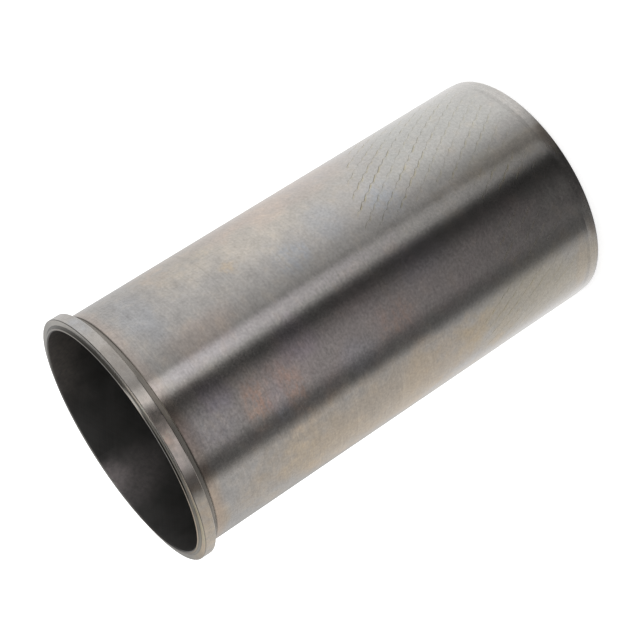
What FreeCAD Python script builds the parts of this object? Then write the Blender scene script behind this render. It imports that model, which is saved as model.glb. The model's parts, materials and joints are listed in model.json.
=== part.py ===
import FreeCAD, Part
import math
import os

from FreeCAD import Vector

# Thin-walled dry cylinder liner, turned and ground from one piece of steel tube.
# It stands on its tail with the flange on top. The origin is the centre of the
# tail's end face and +Z runs up the bore's axis. All sizes are in millimetres.

# Tube
BORE_RADIUS = 52.5
WALL_THICKNESS = 1.5
OVERALL_LENGTH = 213.5

# Flange that hangs the liner in the block's counterbore
FLANGE_PROJECTION = 3.3
FLANGE_THICKNESS = 5.2
FLANGE_TOP_CHAMFER = 0.3
FLANGE_LOWER_CHAMFER = 0.3

# Fire ring, the raised lip round the mouth that the head gasket closes on
FIRE_RING_HEIGHT = 1.0
FIRE_RING_LAND = 0.67
FIRE_RING_FLANK_LEAN = 20.0
FIRE_RING_COVE_RADIUS = 1.0
FIRE_RING_EDGE_RADIUS = 0.1
MOUTH_CHAMFER = 0.45

# Relief groove under the flange, where the grinding wheel runs out
GROOVE_WIDTH = 2.9
GROOVE_DEPTH = 0.3
GROOVE_NOSE_RADIUS = 0.2

# Tail, tapered to lead the liner into the block
TAPER_LENGTH = 4.8
TAPER_DROP = 0.4
TAIL_EDGE_RADIUS = 0.15
TAIL_BORE_CHAMFER = 0.4

# Radii and heights that follow from the sizes above
BODY_RADIUS = BORE_RADIUS + WALL_THICKNESS
TAIL_RADIUS = BODY_RADIUS - TAPER_DROP
GROOVE_RADIUS = BODY_RADIUS - GROOVE_DEPTH
FLANGE_RADIUS = BODY_RADIUS + FLANGE_PROJECTION
LAND_RADIUS = BORE_RADIUS + MOUTH_CHAMFER + FIRE_RING_LAND
FLANK_FOOT_RADIUS = LAND_RADIUS + FIRE_RING_HEIGHT * math.tan(math.radians(FIRE_RING_FLANK_LEAN))

FLANGE_TOP = OVERALL_LENGTH - FIRE_RING_HEIGHT
FLANGE_SEAT = FLANGE_TOP - FLANGE_THICKNESS
GROOVE_FOOT = FLANGE_SEAT - GROOVE_WIDTH

# Ways of finishing a corner of the section
SHARP = "sharp"
CHAMFER = "chamfer"
ROUND = "round"


def section_corners():
    """Corners of the wall's section as (radius, height, finish, size), anticlockwise from the tail."""
    tail = [
        (BORE_RADIUS, 0.0, CHAMFER, TAIL_BORE_CHAMFER),
        (TAIL_RADIUS, 0.0, ROUND, TAIL_EDGE_RADIUS),
        (BODY_RADIUS, TAPER_LENGTH, SHARP, 0.0),
    ]
    # The step out of the groove slopes at 45 degrees, as the wheel leaves it.
    groove = [
        (BODY_RADIUS, GROOVE_FOOT, SHARP, 0.0),
        (GROOVE_RADIUS, GROOVE_FOOT + GROOVE_DEPTH, SHARP, 0.0),
        (GROOVE_RADIUS, FLANGE_SEAT, ROUND, GROOVE_NOSE_RADIUS),
    ]
    flange = [
        (FLANGE_RADIUS, FLANGE_SEAT, CHAMFER, FLANGE_LOWER_CHAMFER),
        (FLANGE_RADIUS, FLANGE_TOP, CHAMFER, FLANGE_TOP_CHAMFER),
    ]
    fire_ring = [
        (FLANK_FOOT_RADIUS, FLANGE_TOP, ROUND, FIRE_RING_COVE_RADIUS),
        (LAND_RADIUS, OVERALL_LENGTH, ROUND, FIRE_RING_EDGE_RADIUS),
        (BORE_RADIUS, OVERALL_LENGTH, CHAMFER, MOUTH_CHAMFER),
    ]
    return tail + groove + flange + fire_ring


def finished_corner(before, corner, after):
    """Points of the outline at one corner: one if sharp, two if chamfered, three along a round."""
    point = Vector(corner[0], 0, corner[1])
    finish = corner[2]
    size = corner[3]
    if finish == SHARP:
        return [point]
    back = (Vector(before[0], 0, before[1]) - point).normalize()
    ahead = (Vector(after[0], 0, after[1]) - point).normalize()
    if finish == CHAMFER:
        return [point + back * size, point + ahead * size]
    half_angle = back.getAngle(ahead) / 2
    tangent_length = size / math.tan(half_angle)
    inward = (back + ahead).normalize()
    middle = point + inward * (size / math.sin(half_angle) - size)
    return [point + back * tangent_length, middle, point + ahead * tangent_length]


def outline(corners):
    """Closed wire through the finished corners, with straight sides and tangent arcs."""
    count = len(corners)
    finished = []
    for index in range(count):
        before = corners[index - 1]
        after = corners[(index + 1) % count]
        finished.append(finished_corner(before, corners[index], after))
    edges = []
    for index in range(count):
        points = finished[index]
        if len(points) == 2:
            edges.append(Part.LineSegment(points[0], points[1]).toShape())
        elif len(points) == 3:
            edges.append(Part.Arc(points[0], points[1], points[2]).toShape())
        next_start = finished[(index + 1) % count][0]
        edges.append(Part.LineSegment(points[-1], next_start).toShape())
    return Part.Wire(edges)


def cylinder_liner():
    """The whole liner: its wall's section turned once round the bore's axis."""
    section = Part.Face(outline(section_corners()))
    return section.revolve(Vector(0, 0, 0), Vector(0, 0, 1), 360)


os.makedirs("parts", exist_ok=True)
cylinder_liner().exportStep("parts/cylinder_liner.step")
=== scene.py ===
import json
import math

import bpy
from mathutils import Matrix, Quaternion, Vector


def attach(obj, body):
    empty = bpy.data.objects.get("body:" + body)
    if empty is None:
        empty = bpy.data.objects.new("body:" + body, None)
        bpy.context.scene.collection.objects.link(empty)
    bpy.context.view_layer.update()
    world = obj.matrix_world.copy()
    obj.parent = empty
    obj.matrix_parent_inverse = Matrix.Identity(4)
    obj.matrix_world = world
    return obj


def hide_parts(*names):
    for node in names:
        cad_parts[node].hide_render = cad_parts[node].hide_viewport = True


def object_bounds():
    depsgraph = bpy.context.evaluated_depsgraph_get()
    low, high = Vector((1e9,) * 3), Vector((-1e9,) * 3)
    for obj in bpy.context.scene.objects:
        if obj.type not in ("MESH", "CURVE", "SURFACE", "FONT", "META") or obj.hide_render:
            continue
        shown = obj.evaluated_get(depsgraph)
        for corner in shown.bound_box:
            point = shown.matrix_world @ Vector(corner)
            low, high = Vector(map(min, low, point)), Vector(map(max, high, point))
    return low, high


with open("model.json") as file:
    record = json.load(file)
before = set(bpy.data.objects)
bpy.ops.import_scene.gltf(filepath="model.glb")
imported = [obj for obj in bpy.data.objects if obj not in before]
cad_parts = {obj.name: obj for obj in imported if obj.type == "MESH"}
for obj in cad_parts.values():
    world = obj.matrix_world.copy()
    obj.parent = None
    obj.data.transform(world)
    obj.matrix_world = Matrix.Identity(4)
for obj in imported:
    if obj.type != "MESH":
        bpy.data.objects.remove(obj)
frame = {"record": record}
cad_low, cad_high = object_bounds()

# Sizes read from the frame, in metres
MM = 0.001
mounts = {mount["name"]: mount for mount in frame["record"]["mounts"]}


def mount_radius(name):
    """Radius of a round mount."""
    return mounts[name]["dims"]["r_mm"] * MM


def mount_span(name):
    """Lowest and highest point of a round mount's wall."""
    middle = mounts[name]["pos_m"][2]
    half = mounts[name]["dims"]["length_mm"] * MM / 2
    return middle - half, middle + half


BORE_RADIUS = mount_radius("bore")
BODY_RADIUS = mount_radius("body_outside")
RIM_RADIUS = mount_radius("flange_rim")
BORE_FOOT, BORE_MOUTH = mount_span("bore")
TAPER_TOP, GROOVE_FOOT = mount_span("body_outside")
RIM_FOOT, RIM_HEAD = mount_span("flange_rim")
FLANGE_SEAT = mounts["flange_seat"]["pos_m"][2]
RIM_CHAMFER = RIM_FOOT - FLANGE_SEAT
FLANGE_TOP = RIM_HEAD + RIM_CHAMFER
TOP = cad_high.z

# Sizes that the frame doesn't state, the same as in the part
GROOVE_DEPTH = 0.3 * MM
GROOVE_NOSE = 0.2 * MM
TAPER_DROP = 0.4 * MM
TAIL_EDGE = 0.15 * MM
LAND_WIDTH = 0.67 * MM
FLANK_LEAN = math.radians(20)
COVE_RADIUS = 1.0 * MM
LAND_EDGE = 0.1 * MM
FINE_EDGE = 0.05 * MM

# Camera: its place from the centre of the flange's top, its tilt and its roll
CAMERA_FROM_FLANGE = Vector((-2.04, -736.59, 176.52)) * MM
CAMERA_TILT = math.radians(90 - 20.62)
CAMERA_ROLL = math.radians(-122.79)
CAMERA_LENS = 104.13
SENSOR_WIDTH = 36.0


class Graph:
    """Short calls that add nodes to one node tree and join them."""

    def __init__(self, tree):
        self.tree = tree
        tree.nodes.clear()

    def add(self, kind, inputs=None, **settings):
        """A node with its settings and its inputs, by name or number, set or joined."""
        node = self.tree.nodes.new(kind)
        for name, value in settings.items():
            setattr(node, name, value)
        for key, value in (inputs or {}).items():
            self.put(node.inputs[key], value)
        return node

    def put(self, socket, value):
        """Joins a socket to another node's output, or sets its value."""
        if isinstance(value, bpy.types.NodeSocket):
            self.tree.links.new(value, socket)
        else:
            socket.default_value = value

    def math(self, operation, first, second=0.0, clamp=False):
        node = self.add("ShaderNodeMath", {0: first, 1: second}, operation=operation, use_clamp=clamp)
        return node.outputs[0]

    def product(self, first, *others):
        for other in others:
            first = self.math("MULTIPLY", first, other)
        return first

    def total(self, first, *others):
        for other in others:
            first = self.math("ADD", first, other)
        return first

    def rise(self, value, low, high, to_low=0.0, to_high=1.0, shape="SMOOTHSTEP"):
        """Smooth step from to_low to to_high as the value goes from low to high."""
        inputs = {"Value": value, "From Min": low, "From Max": high, "To Min": to_low, "To Max": to_high}
        node = self.add("ShaderNodeMapRange", inputs, interpolation_type=shape)
        return node.outputs["Result"]

    def window(self, value, begins, full, fades, ends):
        """0 outside begins and ends, 1 between full and fades, and smooth in between."""
        up = self.rise(value, begins, full)
        down = self.rise(value, fades, ends, 1.0, 0.0)
        return self.product(up, down)

    def swing(self, value, amount):
        """A value between 0 and 1 turned into a swing to either side of zero."""
        return self.product(self.math("SUBTRACT", value, 0.5), amount)

    def vector(self, operation, first, second):
        node = self.add("ShaderNodeVectorMath", {0: first, 1: second}, operation=operation)
        return node.outputs["Vector"]

    def length(self, vector):
        return self.add("ShaderNodeVectorMath", {0: vector}, operation="LENGTH").outputs["Value"]

    def noise(self, vector, size, detail=2.0, roughness=0.5):
        """Noise between 0 and 1 with features of about this size in metres."""
        inputs = {"Vector": vector, "Scale": 1.0 / size, "Detail": detail, "Roughness": roughness}
        return self.add("ShaderNodeTexNoise", inputs).outputs["Fac"]

    def blend(self, factor, first, second, mode="MIX"):
        """Colour between two colours, or one laid over the other by another mode."""
        node = self.add("ShaderNodeMix", data_type="RGBA", blend_type=mode)
        self.put(node.inputs["Factor"], factor)
        self.put(node.inputs["A"], first)
        self.put(node.inputs["B"], second)
        return node.outputs["Result"]

    def shade(self, base, factor):
        """Colour made brighter or darker by a factor."""
        return self.blend(1.0, base, factor, "MULTIPLY")

    def dim(self, base, amount):
        """Colour that loses this share of its brightness."""
        return self.shade(base, self.math("SUBTRACT", 1.0, amount))

    def position(self):
        """Place on the object in metres, in the frame's own axes."""
        return self.add("ShaderNodeTexCoord").outputs["Object"]

    def wall_place(self, position):
        """Angle round the bore in degrees, 0 on the -Y side and rising towards -X, and height in mm."""
        parts = self.add("ShaderNodeSeparateXYZ", {0: position}).outputs
        left = self.product(parts["X"], -1.0)
        near = self.product(parts["Y"], -1.0)
        angle = self.product(self.math("ARCTAN2", left, near), math.degrees(1.0))
        height = self.product(parts["Z"], 1.0 / MM)
        return angle, height

    def pair(self, angle, height):
        return self.add("ShaderNodeCombineXYZ", {0: angle, 1: height}).outputs[0]

    def drawn_round(self, position, ratio):
        """Position with its height multiplied, so that noise taken there is drawn out round the bore."""
        return self.vector("MULTIPLY", position, (1.0, 1.0, ratio))


def colour(red, green, blue):
    """Linear colour with full alpha."""
    return (red, green, blue, 1.0)


# Profile of the wall, as corners of radius, height, round and the surface that follows
GROUND, TURNED, GROOVE, FACE, RING, BORE = range(6)


def profile_corners():
    """Corners of the wall's section, anticlockwise from the inner edge of the tail."""
    tail_radius = BODY_RADIUS - TAPER_DROP
    groove_radius = BODY_RADIUS - GROOVE_DEPTH
    mouth_radius = BORE_RADIUS + TOP - BORE_MOUTH
    land_radius = mouth_radius + LAND_WIDTH
    flank_foot = land_radius + (TOP - FLANGE_TOP) * math.tan(FLANK_LEAN)
    return [
        (BORE_RADIUS, BORE_FOOT, FINE_EDGE, BORE),
        (BORE_RADIUS + BORE_FOOT, 0.0, FINE_EDGE, GROUND),
        (tail_radius, 0.0, TAIL_EDGE, GROUND),
        (BODY_RADIUS, TAPER_TOP, FINE_EDGE, GROUND),
        (BODY_RADIUS, GROOVE_FOOT, FINE_EDGE, GROOVE),
        (groove_radius, GROOVE_FOOT + GROOVE_DEPTH, FINE_EDGE, GROOVE),
        (groove_radius, FLANGE_SEAT, GROOVE_NOSE, GROOVE),
        (RIM_RADIUS - RIM_CHAMFER, FLANGE_SEAT, FINE_EDGE, TURNED),
        (RIM_RADIUS, RIM_FOOT, FINE_EDGE, TURNED),
        (RIM_RADIUS, RIM_HEAD, FINE_EDGE, TURNED),
        (RIM_RADIUS - RIM_CHAMFER, FLANGE_TOP, FINE_EDGE, FACE),
        (flank_foot, FLANGE_TOP, COVE_RADIUS, RING),
        (land_radius, TOP, LAND_EDGE, FACE),
        (mouth_radius, TOP, FINE_EDGE, FACE),
        (BORE_RADIUS, BORE_MOUTH, FINE_EDGE, BORE),
    ]


def rounded_corner(before, corner, after, steps):
    """Points and outward normals along the tangent arc that rounds one corner."""
    point = Vector(corner[:2])
    arriving = (point - Vector(before[:2])).normalized()
    leaving = (Vector(after[:2]) - point).normalized()
    turn = math.atan2(arriving.x * leaving.y - arriving.y * leaving.x, arriving.dot(leaving))
    side = math.copysign(1.0, turn)
    start = point - arriving * corner[2] * math.tan(abs(turn) / 2)
    first_normal = Vector((arriving.y, -arriving.x))
    centre = start - side * corner[2] * first_normal
    arc = []
    for step in range(steps + 1):
        angle = turn * step / steps
        normal = Vector((
            first_normal.x * math.cos(angle) - first_normal.y * math.sin(angle),
            first_normal.x * math.sin(angle) + first_normal.y * math.cos(angle),
        ))
        arc.append((centre + side * corner[2] * normal, normal))
    return arc


def lathe(name, corners, around, fine_steps, wide_steps):
    """A closed body turned from the rounded profile, with exact normals and one material per surface."""
    profile = []
    count = len(corners)
    for index, corner in enumerate(corners):
        steps = wide_steps if corner[2] > LAND_EDGE else fine_steps
        arc = rounded_corner(corners[index - 1], corner, corners[(index + 1) % count], steps)
        for point, normal in arc:
            profile.append((point, normal, corner[3]))
    vertices = []
    normals = []
    for turn in range(around):
        angle = math.tau * turn / around
        across = Vector((math.cos(angle), math.sin(angle)))
        for point, normal, _ in profile:
            vertices.append((across.x * point.x, across.y * point.x, point.y))
            normals.append((across.x * normal.x, across.y * normal.x, normal.y))
    rows = len(profile)
    faces = []
    surfaces = []
    for turn in range(around):
        here = turn * rows
        there = (turn + 1) % around * rows
        for row in range(rows):
            above = (row + 1) % rows
            faces.append((here + row, there + row, there + above, here + above))
            surfaces.append(profile[row][2])
    mesh = bpy.data.meshes.new(name)
    mesh.from_pydata(vertices, [], faces)
    mesh.polygons.foreach_set("material_index", surfaces)
    mesh.polygons.foreach_set("use_smooth", [True] * len(faces))
    mesh.normals_split_custom_set_from_vertices(normals)
    piece = bpy.data.objects.new(name, mesh)
    bpy.context.scene.collection.objects.link(piece)
    return piece


# A quarter turn lays the shader's grain along the tangent, which runs round the bore.
GRAIN_ROTATION = 0.25


def steel(name, roughness, anisotropy):
    """A bare metal with its graph and its shader, its grain running round the bore's axis."""
    material = bpy.data.materials.new(name)
    material.use_nodes = True
    graph = Graph(material.node_tree)
    shader = graph.add("ShaderNodeBsdfPrincipled", {
        "Roughness": roughness,
        "Metallic": 1.0,
        "Anisotropic": anisotropy,
        "Anisotropic Rotation": GRAIN_ROTATION,
    })
    if anisotropy:
        tangent = graph.add("ShaderNodeTangent", direction_type="RADIAL", axis="Z")
        graph.put(shader.inputs["Tangent"], tangent.outputs["Tangent"])
    output = graph.add("ShaderNodeOutputMaterial")
    graph.put(output.inputs["Surface"], shader.outputs[0])
    return material, graph, shader


def dress(graph, shader, base, unevenness, relief, depth):
    """Joins a shader's colour and relief and adds to its roughness; the relief's depth is in metres."""
    bump = graph.add("ShaderNodeBump", {"Height": relief, "Distance": depth})
    own_roughness = shader.inputs["Roughness"].default_value
    graph.put(shader.inputs["Base Color"], base)
    graph.put(shader.inputs["Roughness"], graph.total(unevenness, own_roughness))
    graph.put(shader.inputs["Normal"], bump.outputs["Normal"])


# Tints that heat and old oil leave on bright steel, and a painted highlight and a painted shade, as factors
# on its colour
TAN = colour(1.12, 1.0, 0.84)
ORANGE = colour(1.15, 0.99, 0.90)
ROSE = colour(1.07, 0.98, 1.01)
VIOLET = colour(1.00, 0.96, 1.11)
BLUE = colour(0.93, 0.99, 1.08)
OLIVE = colour(1.04, 1.0, 0.89)
SAGE = colour(0.96, 1.0, 1.0)
CREAM = colour(1.14, 1.10, 1.03)
# Painted highlight: lightens the steel where its reflections are brighter
PAINTED_HIGHLIGHT = colour(1.40, 1.36, 1.32)
# Painted shade: darkens the steel where its reflections are darker
PAINTED_SHADE = colour(0.72, 0.69, 0.67)

# Broad tints of the ground wall, with painted highlights and painted shade among them: tint, angle, height
# in mm, half-angle, half-height and strength
WALL_TINTS_AND_PAINTED_LIGHT = [
    (ROSE, 14.0, 110.0, 17.0, 110.0, 0.9),
    (VIOLET, -11.0, 150.0, 4.0, 60.0, 0.35),
    (TAN, 57.0, 124.0, 22.0, 64.0, 1.0),
    (OLIVE, 52.0, 36.0, 20.0, 38.0, 0.9),
    (SAGE, -50.0, 38.0, 32.0, 40.0, 0.8),
    (TAN, -82.0, 128.0, 26.0, 66.0, 0.3),
    (ROSE, -72.0, 112.0, 18.0, 45.0, 0.6),
    (TAN, -112.0, 90.0, 34.0, 60.0, 0.3),
    (TAN, 88.0, 120.0, 20.0, 100.0, 0.5),
    (BLUE, -46.0, 190.0, 20.0, 9.0, 0.7),
    (CREAM, -62.0, 130.0, 30.0, 46.0, 0.8),
    (TAN, 60.0, 203.0, 26.0, 5.0, 0.8),
    (ORANGE, -21.0, 174.0, 7.0, 20.0, 0.45),
    (VIOLET, 5.0, 184.0, 7.0, 7.0, 0.7),
    (VIOLET, 4.0, 144.0, 9.0, 10.0, 0.6),
    (BLUE, 25.0, 124.0, 8.0, 9.0, 0.9),
    (BLUE, 4.0, 82.0, 8.0, 14.0, 0.5),
    (BLUE, 14.0, 190.0, 12.0, 11.0, 0.9),
    (PAINTED_SHADE, 13.0, 205.0, 17.0, 7.0, 1.0),
    (BLUE, -35.0, 104.0, 14.0, 8.0, 0.8),
    (PAINTED_SHADE, 13.0, 196.0, 18.0, 24.0, 0.45),
    (PAINTED_SHADE, -12.0, 115.0, 6.0, 55.0, 0.3),
    (PAINTED_HIGHLIGHT, -50.0, 136.0, 14.0, 24.0, 0.25),
    (PAINTED_HIGHLIGHT, 25.0, 124.0, 6.0, 12.0, 0.3),
    (PAINTED_HIGHLIGHT, -3.0, 190.0, 3.5, 30.0, 0.4),
    (PAINTED_SHADE, -88.0, 185.0, 9.0, 34.0, 0.45),
    (TAN, 52.0, 9.5, 18.0, 3.5, 0.5),
    (TAN, 50.0, 3.0, 20.0, 2.5, 0.4),
    (OLIVE, -16.0, 22.0, 6.0, 34.0, 0.4),
    (PAINTED_HIGHLIGHT, 36.5, 150.0, 4.0, 70.0, 0.55),
    (PAINTED_HIGHLIGHT, 4.0, 165.0, 3.5, 60.0, 0.35),
    (PAINTED_SHADE, -16.0, 20.0, 3.5, 50.0, 0.6),
    (PAINTED_SHADE, 68.0, 40.0, 9.0, 60.0, 0.35),
    (PAINTED_SHADE, -90.0, 208.0, 8.0, 8.0, 0.5),
    (PAINTED_SHADE, 90.0, 185.0, 8.0, 45.0, 0.8),
    (PAINTED_SHADE, -12.0, 0.0, 9.0, 4.5, 1.0),
    (PAINTED_SHADE, -10.0, 0.0, 10.0, 4.5, 0.8),
    (PAINTED_SHADE, 36.0, 0.0, 5.0, 4.5, 1.0),
]

# Mottled spots on the ground wall, in the same form
WALL_SPOTS = [
    (ORANGE, 18.0, 172.0, 11.0, 6.0, 1.0),
    (ORANGE, 22.0, 155.5, 9.0, 5.5, 1.0),
    (ORANGE, 16.0, 164.0, 10.0, 16.0, 0.5),
    (BLUE, 22.0, 163.0, 8.0, 5.0, 1.0),
    (TAN, -41.0, 148.0, 5.0, 4.0, 0.8),
    (ORANGE, 18.0, 103.0, 9.0, 10.0, 0.7),
    (BLUE, -29.0, 125.0, 8.0, 9.0, 1.0),
    (BLUE, -29.0, 78.0, 11.0, 8.0, 0.8),
    (ORANGE, -72.0, 172.0, 14.0, 10.0, 0.3),
    (CREAM, -60.0, 150.0, 6.0, 5.0, 0.8),
    (CREAM, 56.0, 160.0, 14.0, 11.0, 0.8),
    (CREAM, 15.0, 192.0, 12.0, 8.0, 0.6),
]

# Bright and dark rings left by the grinding: height in mm, half-width, the angles where each
# begins, is full, fades and ends, and the factor on the steel's brightness
WALL_RINGS = [
    (108.3, 1.1, 34.0, 42.0, 62.0, 78.0, 1.06),
    (94.2, 0.9, 34.0, 40.0, 50.0, 58.0, 1.08),
    (156.0, 0.8, -84.0, -70.0, -40.0, -26.0, 0.92),
    (190.0, 1.6, -84.0, -70.0, -44.0, -30.0, 1.05),
    (132.0, 1.2, 34.0, 44.0, 60.0, 72.0, 1.05),
    (5.6, 1.3, -66.0, -50.0, 66.0, 80.0, 0.90),
]

# Stains on the flange's rim, with painted highlights and painted shade among them, in the form of the
# wall's tints
RIM_STAINS_AND_PAINTED_LIGHT = [
    (PAINTED_HIGHLIGHT, 5.0, 210.0, 14.0, 20.0, 1.0),
    (PAINTED_HIGHLIGHT, 3.0, 210.0, 6.0, 20.0, 0.55),
    (PAINTED_SHADE, -14.0, 210.0, 6.0, 20.0, 0.6),
    (PAINTED_SHADE, 45.0, 210.0, 7.0, 20.0, 0.5),
    (PAINTED_HIGHLIGHT, 86.0, 210.0, 10.0, 20.0, 0.5),
    (PAINTED_SHADE, 29.0, 210.0, 6.0, 20.0, 1.0),
    (PAINTED_SHADE, -30.0, 210.0, 9.0, 20.0, 0.8),
    (ROSE, 12.0, 210.0, 18.0, 20.0, 0.7),
    (TAN, 60.0, 210.0, 26.0, 20.0, 0.9),
    (ORANGE, 9.0, 211.0, 5.0, 2.0, 0.6),
    (BLUE, -56.0, 210.0, 9.0, 3.0, 0.8),
]

# A stain and painted highlights on the flange's face, painted highlights in the groove and painted shade on
# the fire ring's land, in the same form
FACE_STAINS_AND_HIGHLIGHTS = [
    (TAN, 62.0, 212.5, 34.0, 20.0, 1.0),
    (PAINTED_HIGHLIGHT, 58.0, 212.5, 34.0, 20.0, 1.0),
    (PAINTED_HIGHLIGHT, 50.0, 212.5, 22.0, 20.0, 0.9),
    (PAINTED_HIGHLIGHT, -3.0, 212.5, 5.0, 20.0, 0.8),
    (PAINTED_HIGHLIGHT, -12.0, 212.5, 9.0, 20.0, 1.0),
    (PAINTED_HIGHLIGHT, -12.0, 212.5, 8.0, 20.0, 0.8),
    (PAINTED_HIGHLIGHT, -68.0, 212.5, 18.0, 20.0, 0.4),
]
GROOVE_HIGHLIGHTS = [
    (PAINTED_HIGHLIGHT, -4.0, 206.0, 9.0, 20.0, 1.0),
    (PAINTED_HIGHLIGHT, 48.0, 206.0, 9.0, 20.0, 0.4),
]
LAND_SHADES = [
    (PAINTED_SHADE, 112.0, 213.5, 40.0, 20.0, 1.0),
    (PAINTED_SHADE, -58.0, 213.5, 30.0, 20.0, 1.0),
]


def patched(graph, base, place, ragged, cloud, patch_list):
    """Lays each stain, painted highlight and painted shade over the base, with ragged edges and an uneven
    strength.
    """
    for tint, angle, height, half_angle, half_height, strength in patch_list:
        offset = graph.vector("SUBTRACT", place, (angle, height, 0.0))
        reach = graph.length(graph.vector("DIVIDE", offset, (half_angle, half_height, 1.0)))
        amount = graph.rise(graph.total(reach, ragged), 0.45, 1.35, strength, 0.0)
        base = graph.blend(graph.product(amount, cloud), base, tint, "MULTIPLY")
    return base


def ringed(graph, base, angle, height, ragged):
    """Lays the bright and dark rings over the base, with ragged ends and edges."""
    wavering = graph.total(height, graph.product(ragged, 0.6))
    for middle, half, begins, full, fades, ends, factor in WALL_RINGS:
        away = graph.math("ABSOLUTE", graph.math("SUBTRACT", wavering, middle))
        across = graph.rise(away, half * 0.4, half, 1.0, 0.0)
        along = graph.window(graph.total(angle, graph.product(ragged, 8.0)), begins, full, fades, ends)
        base = graph.shade(base, graph.total(1.0, graph.product(across, along, factor - 1.0)))
    return base


# Hairlines: fine zigzag cracks that lean across the wall near the tail. Angles are in degrees,
# heights and widths in mm, the lean is in degrees for each mm, and the stroke is the share of
# a zigzag's height that its long side takes.
HAIRLINES_ROUND = 57
HAIRLINE_PITCH = 360.0 / HAIRLINES_ROUND
HAIRLINE_LEAN = 0.679
HAIRLINE_ANGLE = -20.5
HAIRLINE_HEIGHT = 93.7
HAIRLINE_ZIGZAG = 4.7
HAIRLINE_SWING = 0.8
HAIRLINE_STROKE = 0.62
HAIRLINE_HALF_WIDTH = 0.18
HAIRLINE_HALO = 0.9
HALO_ASIDE = 0.5
HAIRLINE_COLOUR = colour(0.14, 0.12, 0.085)
HALO_TINT = colour(1.01, 0.95, 0.74)

# Where they show: angles where a patch begins, is full, fades and ends, the height of its top
# at the first hairline, how far that rises for each degree round, and its strength
HAIRLINE_PATCHES = [
    (-88.0, -70.0, -21.0, -17.0, 95.5, 0.5, 0.9),
    (-17.0, -13.0, -5.0, -2.0, 46.0, 0.0, 1.0),
    (6.0, 12.0, 26.0, 34.0, 48.0, 0.0, 0.6),
    (34.0, 40.0, 66.0, 76.0, 66.0, 0.0, 0.7),
]
HAIRLINE_JITTER = 5.0
HAIRLINE_FOOT = 9.0


def hairlines(graph, position, angle, height):
    """Strength of the hairlines themselves and of the faint halo beside them."""
    millimetres = BODY_RADIUS / MM * math.radians(1.0)
    below = graph.math("SUBTRACT", height, HAIRLINE_HEIGHT)
    straight = graph.math("SUBTRACT", angle, graph.product(below, HAIRLINE_LEAN))
    cell = graph.total(graph.product(straight, 1.0 / HAIRLINE_PITCH), 0.5 - HAIRLINE_ANGLE / HAIRLINE_PITCH)
    index = graph.math("FLOOR", cell)
    chance = graph.add("ShaderNodeTexWhiteNoise", {"W": index}, noise_dimensions="1D").outputs["Value"]
    jitter = graph.noise(position, 6.0 * MM, 2.0, 0.6)
    phase = graph.total(graph.product(height, 1.0 / HAIRLINE_ZIGZAG), graph.product(chance, 7.0), jitter)
    turn = graph.math("FRACT", phase)
    out = graph.rise(turn, 0.0, HAIRLINE_STROKE, shape="LINEAR")
    back = graph.rise(turn, HAIRLINE_STROKE, 1.0, 0.5, 1.5, "LINEAR")
    zigzag = graph.product(graph.math("SUBTRACT", back, out), HAIRLINE_SWING)
    stroke = graph.window(turn, 0.0, 0.12, HAIRLINE_STROKE - 0.1, HAIRLINE_STROKE + 0.1)
    wander = graph.swing(graph.noise(position, 3.0 * MM, 2.0, 0.6), 0.9)
    middle = graph.math("SUBTRACT", graph.math("FRACT", cell), 0.5)
    across = graph.product(middle, HAIRLINE_PITCH * millimetres)
    distance = graph.math("ABSOLUTE", graph.total(across, zigzag, wander))
    line = graph.rise(distance, HAIRLINE_HALF_WIDTH * 0.4, HAIRLINE_HALF_WIDTH * 1.6, 1.0, 0.0)
    aside = graph.math("ABSOLUTE", graph.total(across, zigzag, wander, -HALO_ASIDE))
    halo = graph.rise(aside, 0.0, HAIRLINE_HALO, 1.0, 0.0)
    strength = 0.0
    for begins, full, fades, ends, top, slope, most in HAIRLINE_PATCHES:
        round_patch = graph.window(angle, begins, full, fades, ends)
        past_first = graph.math("SUBTRACT", angle, HAIRLINE_ANGLE)
        start = graph.total(graph.product(past_first, slope), graph.product(chance, -HAIRLINE_JITTER), top)
        along = graph.window(height, HAIRLINE_FOOT, HAIRLINE_FOOT + 6.0, start, graph.total(start, 1.2))
        fade = graph.rise(height, HAIRLINE_FOOT, top, 0.35, 1.0, "LINEAR")
        strength = graph.math("MAXIMUM", strength, graph.product(round_patch, along, fade, most))
    dashes = graph.rise(graph.noise(position, 2.0 * MM, 2.0), 0.34, 0.50, 0.55, 1.3)
    gaps = graph.rise(graph.noise(position, 9.0 * MM, 2.0), 0.34, 0.48, 0.45, 1.0)
    uneven = graph.rise(graph.math("FRACT", graph.product(chance, 5.3)), 0.0, 1.0, 0.65, 1.0)
    strength = graph.product(strength, dashes, gaps, uneven, graph.rise(stroke, 0.0, 1.0, 0.45, 1.0))
    tinted = graph.rise(graph.noise(position, 8.0 * MM, 2.0), 0.4, 0.6, 0.2, 1.0)
    return graph.product(line, strength), graph.product(halo, strength, tinted)


# Colours of the bare surfaces
WALL_GREY = colour(0.52, 0.498, 0.476)
RIM_GREY = colour(0.555, 0.525, 0.492)
GROOVE_BROWN = colour(0.33, 0.306, 0.276)
FACE_GREY = colour(0.52, 0.50, 0.465)
SOOT_BROWN = colour(0.205, 0.193, 0.170)
COAT_GREY = colour(0.21, 0.205, 0.20)
# Painted shade: the dark line on the rim's top chamfer
CHAMFER_SHADE = colour(0.06, 0.056, 0.045)
# Painted highlight on the fire ring's flank
HIGHLIGHT_STEEL = colour(0.66, 0.63, 0.58)

# Stretches round the bore, in degrees: where each begins, is full, fades and ends
GRITTY_WALL = (-8.0, 0.0, 26.0, 36.0)
# Where the painted shade below the groove is left out
GROOVE_EDGE_UNSHADED = (-20.0, -13.0, -2.0, 8.0)
# Where the tail's edge is made darker
DARKER_TAIL_EDGE = (-60.0, -15.0, 30.0, 70.0)
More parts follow.
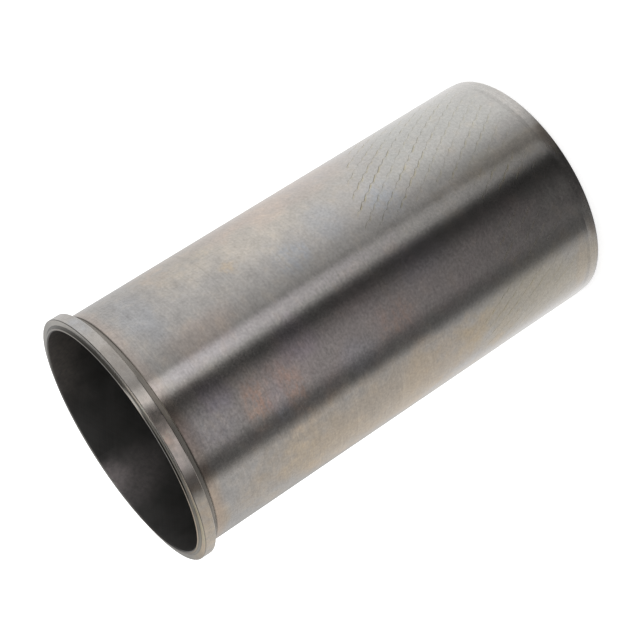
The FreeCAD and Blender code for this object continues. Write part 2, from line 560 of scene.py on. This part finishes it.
# Where the painted shade on the rim's lower chamfer is deepest
SHADED_RIM_UNDERSIDE = (-22.0, -14.0, 14.0, 22.0)
# Where painted highlights lie along the groove's lower corner, brighter in the second stretch
GROOVE_CORNER_HIGHLIGHT = (-35.0, -12.0, 8.0, 18.0)
GROOVE_CORNER_STRONG_HIGHLIGHT = (28.0, 46.0, 80.0, 110.0)
# Where painted shade lies in the groove beside the flange
SHADED_SEAT = (14.0, 26.0, 60.0, 100.0)
# Where the painted shade on the mouth's chamfer is deeper
SHADED_MOUTH_RIGHT = (35.0, 60.0, 115.0, 150.0)
SHADED_MOUTH_LEFT = (-120.0, -100.0, -60.0, -35.0)
# Where the fire ring's cove and flank are made lighter
LIGHTER_RING = (-30.0, 55.0, 100.0, 175.0)
# Where the fire ring's flank is made darker
DARKER_FLANK_RIGHT = (0.0, 10.0, 28.0, 46.0)
DARKER_FLANK_LEFT = (-58.0, -50.0, -40.0, -32.0)
# Where a highlight is painted onto the fire ring's flank
HIGHLIGHT_ANGLE = -11.0


def ground_steel():
    """Outside of the tube: grinding speckle, heat tints with painted highlights and painted shade, painted
    shade below the groove, a darker tail edge, a turned taper and the hairlines.
    """
    material, graph, shader = steel("ground_steel", roughness=0.22, anisotropy=0.55)
    position = graph.position()
    angle, height = graph.wall_place(position)
    place = graph.pair(angle, height)
    speckle = graph.noise(graph.drawn_round(position, 1.2), 1.2 * MM, 2.0, 0.5)
    streaks = graph.noise(graph.drawn_round(position, 22.0), 14.0 * MM, 3.0, 0.6)
    mottle = graph.noise(graph.drawn_round(position, 1.3), 7.0 * MM, 3.0, 0.55)
    cloud = graph.noise(position, 26.0 * MM, 2.0)
    ragged = graph.swing(graph.noise(position, 12.0 * MM, 3.0, 0.6), 1.5)
    patchy = graph.rise(cloud, 0.35, 0.65, 0.7, 1.0)
    fine_patches = graph.noise(graph.drawn_round(position, 2.0), 5.0 * MM, 4.0, 0.7)
    blotches = graph.rise(fine_patches, 0.36, 0.64, 0.2, 1.2)

    gritty = graph.product(
        graph.window(angle, *GRITTY_WALL), graph.rise(height, 60.0, 180.0, 0.5, 1.0),
    )
    grit = graph.product(graph.swing(speckle, 1.0), graph.total(0.46, graph.product(gritty, 0.35)))
    uneven = graph.total(
        graph.swing(streaks, 0.24), graph.swing(mottle, 0.30), graph.swing(cloud, 0.16),
        graph.swing(fine_patches, 0.14),
    )
    stronger = graph.rise(height, 60.0, 170.0, 0.5, 1.3)
    tone = graph.total(1.0, grit, graph.product(uneven, stronger))
    base = graph.shade(WALL_GREY, tone)
    base = graph.blend(graph.rise(mottle, 0.5, 0.72, 0.0, 0.2), base, TAN, "MULTIPLY")
    base = patched(graph, base, place, ragged, patchy, WALL_TINTS_AND_PAINTED_LIGHT)
    base = patched(graph, base, place, ragged, blotches, WALL_SPOTS)
    beside_groove = graph.rise(graph.total(height, graph.product(ragged, 4.0)), 198.0, 204.0)
    base = graph.blend(graph.product(beside_groove, 0.5), base, ORANGE, "MULTIPLY")
    base = ringed(graph, base, angle, height, ragged)
    # Painted shade on the wall just below the groove, left out in one stretch round the bore
    groove_edge = graph.rise(height, GROOVE_FOOT / MM - 0.5, GROOVE_FOOT / MM - 0.1)
    unshaded = graph.window(angle, *GROOVE_EDGE_UNSHADED)
    shade_amount = graph.product(groove_edge, graph.math("SUBTRACT", 1.0, unshaded), 0.45)
    base = graph.dim(base, shade_amount)

    line, halo = hairlines(graph, position, angle, height)
    base = graph.blend(halo, base, HALO_TINT, "MULTIPLY")
    base = graph.blend(graph.product(line, 0.75), base, HAIRLINE_COLOUR)

    turned = graph.rise(height, TAPER_TOP / MM + 0.2, TAPER_TOP / MM - 0.2)
    rings = graph.noise(graph.drawn_round(position, 60.0), 30.0 * MM, 2.0)
    turned_lines = graph.product(turned, graph.swing(rings, 0.4))
    base = graph.shade(base, graph.total(1.0, turned_lines))

    # The tail's edge is made darker in a stretch round the bore
    tail_edge = graph.rise(height, 0.5, 0.15)
    tail_darkening = graph.product(tail_edge, graph.window(angle, *DARKER_TAIL_EDGE), 0.6)
    base = graph.dim(base, tail_darkening)

    unevenness = graph.total(
        graph.swing(mottle, 0.05), graph.product(line, 0.2), graph.product(turned, 0.05),
    )
    relief = graph.total(graph.product(speckle, 0.7), graph.product(streaks, 0.3))
    dress(graph, shader, base, unevenness, relief, depth=0.007 * MM)
    return material


def turned_steel():
    """The flange's rim: finely turned and blotched, with stains, painted highlights and painted shade, and
    painted shade on its chamfers.
    """
    material, graph, shader = steel("turned_steel", roughness=0.25, anisotropy=0.7)
    position = graph.position()
    angle, height = graph.wall_place(position)
    place = graph.pair(angle, height)
    speckle = graph.noise(graph.drawn_round(position, 1.4), 1.5 * MM, 3.0, 0.6)
    rings = graph.noise(graph.drawn_round(position, 30.0), 12.0 * MM, 3.0, 0.6)
    mottle = graph.noise(graph.drawn_round(position, 1.5), 6.0 * MM, 3.0, 0.6)
    ragged = graph.swing(graph.noise(position, 8.0 * MM, 3.0, 0.6), 1.2)
    blotches = graph.rise(graph.noise(position, 3.0 * MM, 3.0, 0.6), 0.25, 0.7, 0.4, 1.0)

    tone = graph.total(
        1.0, graph.swing(speckle, 0.32), graph.swing(rings, 0.22), graph.swing(mottle, 0.55),
        graph.swing(blotches, 0.25),
    )
    base = graph.shade(RIM_GREY, tone)
    base = patched(graph, base, place, ragged, blotches, RIM_STAINS_AND_PAINTED_LIGHT)
    # Painted shade: a dark line on the top chamfer, fainter past 25 degrees round the bore
    chamfer = graph.rise(height, RIM_HEAD / MM - 0.05, RIM_HEAD / MM + 0.05)
    line = graph.rise(angle, 25.0, 52.0, 0.18, 0.6)
    base = graph.blend(graph.product(chamfer, graph.math("SUBTRACT", 1.0, line)), base, CHAMFER_SHADE)
    # Painted shade on the rim's lower chamfer, deepest in a stretch round the bore
    underside = graph.rise(height, RIM_FOOT / MM + 0.1, RIM_FOOT / MM - 0.05)
    shade_amount = graph.rise(graph.window(angle, *SHADED_RIM_UNDERSIDE), 0.0, 1.0, 0.3, 0.88)
    base = graph.dim(base, graph.product(underside, shade_amount))

    relief = graph.total(graph.product(speckle, 0.4), graph.product(rings, 0.6))
    dress(graph, shader, base, graph.swing(mottle, 0.08), relief, depth=0.01 * MM)
    return material


def groove_steel():
    """The relief groove: coarser turned lines, brown with old oil, with painted highlights, a painted
    highlight and shade along its lower corner and painted shade beside the flange.
    """
    material, graph, shader = steel("groove_steel", roughness=0.45, anisotropy=0.4)
    position = graph.position()
    angle, height = graph.wall_place(position)
    rings = graph.noise(graph.drawn_round(position, 30.0), 16.0 * MM, 3.0, 0.6)
    mottle = graph.noise(position, 5.0 * MM, 3.0, 0.6)
    tone = graph.total(1.0, graph.swing(rings, 0.7), graph.swing(mottle, 0.35))
    base = graph.shade(GROOVE_BROWN, tone)
    place = graph.pair(angle, height)
    ragged = graph.swing(graph.noise(position, 8.0 * MM, 3.0, 0.6), 0.8)
    corner = graph.rise(height, GROOVE_FOOT / MM + 0.55, GROOVE_FOOT / MM + 0.3)
    # Painted highlights in the groove, kept off its lower corner
    base = patched(graph, base, place, ragged, graph.math("SUBTRACT", 1.0, corner), GROOVE_HIGHLIGHTS)
    # Painted highlights along the groove's lower corner in two stretches round the bore, and painted shade
    # along it elsewhere
    corner_light_and_shade = graph.total(
        graph.product(graph.window(angle, *GROOVE_CORNER_HIGHLIGHT), 0.75),
        graph.product(graph.window(angle, *GROOVE_CORNER_STRONG_HIGHLIGHT), 1.1), -0.2,
    )
    base = graph.shade(base, graph.total(1.0, graph.product(corner, corner_light_and_shade)))
    # Painted shade in the groove beside the flange, in one stretch round the bore
    beside_flange = graph.rise(height, FLANGE_SEAT / MM - 1.5, FLANGE_SEAT / MM - 0.6)
    seat_shade = graph.product(beside_flange, graph.window(angle, *SHADED_SEAT), 0.35)
    base = graph.dim(base, seat_shade)
    dress(graph, shader, base, graph.swing(mottle, 0.1), rings, depth=0.02 * MM)
    return material


def face_steel():
    """The flange's face, the fire ring's land and the mouth's chamfer: fine facing cuts, with painted
    highlights on the face, painted shade on the land and painted shade on the mouth's chamfer.
    """
    material, graph, shader = steel("face_steel", roughness=0.3, anisotropy=0.6)
    position = graph.position()
    parts = graph.add("ShaderNodeSeparateXYZ", {0: position}).outputs
    flat = graph.add("ShaderNodeCombineXYZ", {0: parts["X"], 1: parts["Y"]}).outputs[0]
    radius = graph.length(flat)
    spiral = graph.add("ShaderNodeCombineXYZ", {0: radius}).outputs[0]
    cuts = graph.noise(spiral, 0.3 * MM, 3.0, 0.6)
    mottle = graph.noise(position, 5.0 * MM, 3.0, 0.6)
    tone = graph.total(1.0, graph.swing(cuts, 0.9), graph.swing(mottle, 0.35))
    base = graph.shade(FACE_GREY, tone)
    angle, height = graph.wall_place(position)
    place = graph.pair(angle, height)
    ragged = graph.swing(graph.noise(position, 8.0 * MM, 3.0, 0.6), 0.8)
    # A stain and painted highlights on the face
    base = patched(graph, base, place, ragged, 1.0, FACE_STAINS_AND_HIGHLIGHTS)
    land = graph.rise(height, FLANGE_TOP / MM + 0.3, TOP / MM - 0.3)
    base = graph.shade(base, graph.rise(land, 0.0, 1.0, 1.0, 0.85))
    # Painted shade on the fire ring's land
    base = patched(graph, base, place, ragged, land, LAND_SHADES)
    # Painted shade on the mouth's chamfer, deeper in two stretches round the bore
    mouth = BORE_RADIUS + TOP - BORE_MOUTH
    chamfer = graph.rise(radius, mouth, mouth - 0.08 * MM)
    left_end = graph.product(graph.window(angle, *SHADED_MOUTH_LEFT), 0.6)
    ends = graph.total(graph.window(angle, *SHADED_MOUTH_RIGHT), left_end)
    base = graph.shade(base, graph.rise(chamfer, 0.0, 1.0, 1.0, 0.5))
    base = graph.dim(base, graph.product(chamfer, ends, 0.8))
    dress(graph, shader, base, graph.swing(mottle, 0.1), cuts, depth=0.01 * MM)
    return material


def ring_steel():
    """The fire ring's cove and flank, dark with soot and oil, darker up the flank, made lighter in one
    stretch round the bore and darker on the flank in two, with a painted highlight on the flank.
    """
    material, graph, shader = steel("ring_steel", roughness=0.35, anisotropy=0.6)
    position = graph.position()
    rings = graph.noise(graph.drawn_round(position, 20.0), 8.0 * MM, 3.0, 0.6)
    mottle = graph.noise(position, 5.0 * MM, 3.0, 0.6)
    tone = graph.total(1.0, graph.swing(rings, 0.6), graph.swing(mottle, 0.5))
    base = graph.shade(SOOT_BROWN, tone)
    angle, height = graph.wall_place(position)
    base = graph.shade(base, graph.rise(height, FLANGE_TOP / MM + 0.1, FLANGE_TOP / MM + 0.7, 0.9, 0.6))
    # The cove and flank are made lighter in one stretch round the bore and darker outside it
    lighter = graph.window(angle, *LIGHTER_RING)
    base = graph.shade(base, graph.rise(lighter, 0.0, 1.0, 0.65, 2.3, "LINEAR"))
    # The flank is made darker in two stretches round the bore
    flank = graph.rise(height, FLANGE_TOP / MM + 0.25, FLANGE_TOP / MM + 0.5)
    left_darkening = graph.product(graph.window(angle, *DARKER_FLANK_LEFT), 0.4)
    flank_darkening = graph.total(graph.window(angle, *DARKER_FLANK_RIGHT), left_darkening)
    base = graph.dim(base, graph.product(flank, flank_darkening, 0.85))
    # Painted highlight on the flank
    from_highlight = graph.math("ABSOLUTE", graph.math("SUBTRACT", angle, HIGHLIGHT_ANGLE))
    flank_highlight = graph.product(graph.rise(from_highlight, 2.0, 9.0, 0.95, 0.0), flank)
    base = graph.blend(flank_highlight, base, HIGHLIGHT_STEEL)
    dress(graph, shader, base, graph.swing(mottle, 0.1), rings, depth=0.02 * MM)
    return material


# Honing marks climb the bore both ways, by this many radians for each metre of height.
HONING_TWIST = 33.0
# Paler smears in the coat below the mouth, the second a painted reflection: colour, angle, height,
# half-angle, half-height, strength
SMEARS_AND_REFLECTION = [
    (colour(0.52, 0.475, 0.475), 163.0, 206.0, 15.0, 18.0, 1.0),
    (colour(0.80, 0.72, 0.72), 168.0, 212.0, 8.0, 9.0, 0.9),
    (colour(0.50, 0.455, 0.42), -122.0, 211.0, 30.0, 18.0, 0.9),
]


def coated_bore():
    """The bore: a dark coat over crossed honing marks, with paler smears and a painted reflection below the
    mouth.
    """
    material, graph, shader = steel("coated_bore", roughness=0.45, anisotropy=0.0)
    position = graph.position()
    angle, height = graph.wall_place(position)
    place = graph.pair(angle, height)
    upward = graph.add("ShaderNodeSeparateXYZ", {0: position}).outputs["Z"]
    marks = 0.0
    for way in (-1, 1):
        twist = graph.product(upward, way * HONING_TWIST)
        turned = graph.add("ShaderNodeVectorRotate", {"Vector": position, "Angle": twist},
                           rotation_type="Z_AXIS").outputs[0]
        flat = graph.vector("MULTIPLY", turned, (1.0, 1.0, 0.05))
        marks = graph.total(marks, graph.product(graph.noise(flat, 0.9 * MM, 2.0, 0.6), 0.5))
    mottle = graph.noise(position, 9.0 * MM, 3.0, 0.6)
    ragged = graph.swing(graph.noise(position, 14.0 * MM, 3.0, 0.6), 1.0)
    tone = graph.total(1.0, graph.swing(marks, 0.5), graph.swing(mottle, 0.5))
    base = graph.shade(COAT_GREY, tone)
    speckled = graph.rise(graph.noise(position, 1.6 * MM, 3.0, 0.6), 0.3, 0.7, 0.6, 1.0)
    for paler, middle_angle, middle_height, half_angle, half_height, strength in SMEARS_AND_REFLECTION:
        offset = graph.vector("SUBTRACT", place, (middle_angle, middle_height, 0.0))
        reach = graph.length(graph.vector("DIVIDE", offset, (half_angle, half_height, 1.0)))
        patch_amount = graph.rise(graph.total(reach, ragged), 0.2, 1.3, strength, 0.0)
        base = graph.blend(graph.product(patch_amount, speckled), base, paler)
    dress(graph, shader, base, graph.swing(mottle, 0.1), marks, depth=0.01 * MM)
    return material


# Studio: soft boxes and dark flags round the liner. Each has four bearings from the camera's
# side in degrees, where it begins, is full, fades and ends, and its brightness for
# reflections that leave the steel level and for those that leave it steeply downwards.
STUDIO_PANELS = [
    (-190.0, -165.0, -78.0, -42.0, 0.62, 1.08),
    (-72.0, -50.0, -38.0, -26.0, 0.44, 0.36),
    (-32.0, -26.0, -18.0, -8.0, 1.06, 0.12),
    (-3.0, 28.0, 42.0, 58.0, 0.50, 0.00),
    (38.0, 56.0, 176.0, 190.0, 0.06, 0.10),
    (67.0, 84.0, 148.0, 198.0, 0.48, 0.45),
    (90.0, 172.0, 176.0, 190.0, 0.00, 0.60),
]
# The room between the panels, for the same two kinds of reflection
DARK_ROOM = (0.075, 0.01)
# Sines of the climb at which a reflection counts as level and as steeply downwards
LEVEL_SINE = math.sin(math.radians(-15.0))
STEEP_SINE = math.sin(math.radians(-30.0))
# The studio is open above, so reflections that leave the steel upwards are dimmer.
OVERHEAD_FROM = math.sin(math.radians(15.0))
OVERHEAD_TO = math.sin(math.radians(65.0))
OVERHEAD_SHARE = 0.45
# A soft box hangs right above and pale ground lies right below, for views from high up: the
# sines of the climb where each begins and is full, and its brightness.
OVERHEAD_BOX = (math.sin(math.radians(50.0)), math.sin(math.radians(75.0)), 0.5)
PALE_GROUND = (math.sin(math.radians(-50.0)), math.sin(math.radians(-68.0)), 0.4)


def studio_world():
    """Surroundings that the steel mirrors and that light the scene; the camera sees plain white."""
    world = bpy.data.worlds.new("studio")
    bpy.context.scene.world = world
    world.use_nodes = True
    graph = Graph(world.node_tree)
    direction = graph.add("ShaderNodeTexCoord").outputs["Generated"]
    bearing, _ = graph.wall_place(direction)
    climb = graph.add("ShaderNodeSeparateXYZ", {0: direction}).outputs["Z"]

    def brightness(level, steep):
        return graph.rise(climb, STEEP_SINE, LEVEL_SINE, steep, level)

    light = brightness(*DARK_ROOM)
    for begins, full, fades, ends, level, steep in STUDIO_PANELS:
        for turn in (-360.0, 0.0, 360.0):
            if begins + turn < 180.0 and ends + turn > -180.0:
                panel = graph.window(bearing, begins + turn, full + turn, fades + turn, ends + turn)
                light = graph.total(light, graph.product(panel, brightness(level, steep)))
    overhead = graph.rise(climb, OVERHEAD_FROM, OVERHEAD_TO, 1.0, OVERHEAD_SHARE)
    light = graph.product(light, overhead)
    for begins, full, level in (OVERHEAD_BOX, PALE_GROUND):
        light = graph.total(light, graph.rise(climb, begins, full, 0.0, level))
    path = graph.add("ShaderNodeLightPath")
    straight = path.outputs["Is Camera Ray"]
    through = path.outputs["Is Transmission Ray"]
    plain = graph.math("ADD", straight, through, clamp=True)
    seen = graph.add("ShaderNodeMix", {"Factor": plain, "A": light, "B": 1.0}).outputs["Result"]
    background = graph.add("ShaderNodeBackground", {"Color": colour(1, 1, 1), "Strength": seen})
    output = graph.add("ShaderNodeOutputWorld")
    graph.put(output.inputs["Surface"], background.outputs[0])


FLOOR_HALF = 6.0
FLOOR_COLOUR = colour(0.85, 0.85, 0.85)
# The floor's own white near the liner; it takes over from the lamp's light between two distances.
FLOOR_LIFT = 0.5
FLOOR_NEAR = 0.8
FLOOR_FAR = 3.0


def floor():
    """White floor under the tail, which keeps the liner's shadow."""
    mesh = bpy.data.meshes.new("floor")
    corners = [(-1, -1, 0), (1, -1, 0), (1, 1, 0), (-1, 1, 0)]
    mesh.from_pydata([(x * FLOOR_HALF, y * FLOOR_HALF, z) for x, y, z in corners], [], [(0, 1, 2, 3)])
    piece = bpy.data.objects.new("floor", mesh)
    bpy.context.scene.collection.objects.link(piece)
    material = bpy.data.materials.new("floor_white")
    material.use_nodes = True
    graph = Graph(material.node_tree)
    path = graph.add("ShaderNodeLightPath")
    seen = graph.total(path.outputs["Is Camera Ray"], path.outputs["Is Glossy Ray"])
    seen = graph.math("ADD", seen, path.outputs["Is Transmission Ray"], clamp=True)
    away = graph.length(graph.position())
    lift = graph.product(seen, graph.rise(away, FLOOR_NEAR, FLOOR_FAR, FLOOR_LIFT, 1.0))
    diffuse = graph.add("ShaderNodeBsdfDiffuse", {"Color": FLOOR_COLOUR})
    glow = graph.add("ShaderNodeEmission", {"Color": colour(1, 1, 1), "Strength": lift})
    both = graph.add("ShaderNodeAddShader", {0: diffuse.outputs[0], 1: glow.outputs[0]})
    output = graph.add("ShaderNodeOutputMaterial")
    graph.put(output.inputs["Surface"], both.outputs[0])
    mesh.materials.append(material)
    # The liner hung clear of everything in the photo, so the steel mirrors the studio, not the floor.
    piece.visible_glossy = False


LAMP_SIZE = 3.0
LAMP_PLACE = (0.2, 0.5, 3.0)
LAMP_POWER = 75.0


def lamp():
    """One large soft lamp overhead, for the floor's shadow."""
    light = bpy.data.lights.new("overhead", "AREA")
    light.shape = "SQUARE"
    light.size = LAMP_SIZE
    light.energy = LAMP_POWER
    piece = bpy.data.objects.new("overhead", light)
    piece.location = LAMP_PLACE
    piece.rotation_mode = "QUATERNION"
    piece.rotation_quaternion = piece.location.to_track_quat("Z", "Y")
    piece.visible_glossy = False
    bpy.context.scene.collection.objects.link(piece)


def camera():
    """Camera at the photo's angle, rolled so that the upright liner lies across the picture."""
    lens = bpy.data.cameras.new("camera")
    lens.lens = CAMERA_LENS
    lens.sensor_width = SENSOR_WIDTH
    lens.clip_start = 0.01
    piece = bpy.data.objects.new("camera", lens)
    piece.location = Vector((0, 0, FLANGE_TOP)) + CAMERA_FROM_FLANGE
    piece.rotation_mode = "QUATERNION"
    tilt = Quaternion((1, 0, 0), CAMERA_TILT)
    roll = Quaternion((0, 0, 1), CAMERA_ROLL)
    piece.rotation_quaternion = tilt @ roll
    bpy.context.scene.collection.objects.link(piece)
    bpy.context.scene.camera = piece


# Steps of the turned mesh: once round the bore, over a fine round and over a wide one
STEPS_AROUND = 288
FINE_STEPS = 4
WIDE_STEPS = 12

liner = lathe("liner", profile_corners(), STEPS_AROUND, FINE_STEPS, WIDE_STEPS)
for make in (ground_steel, turned_steel, groove_steel, face_steel, ring_steel, coated_bore):
    liner.data.materials.append(make())
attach(liner, "root")
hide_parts("cylinder_liner")

studio_world()
floor()
lamp()
camera()
bpy.context.scene.view_settings.view_transform = "Standard"
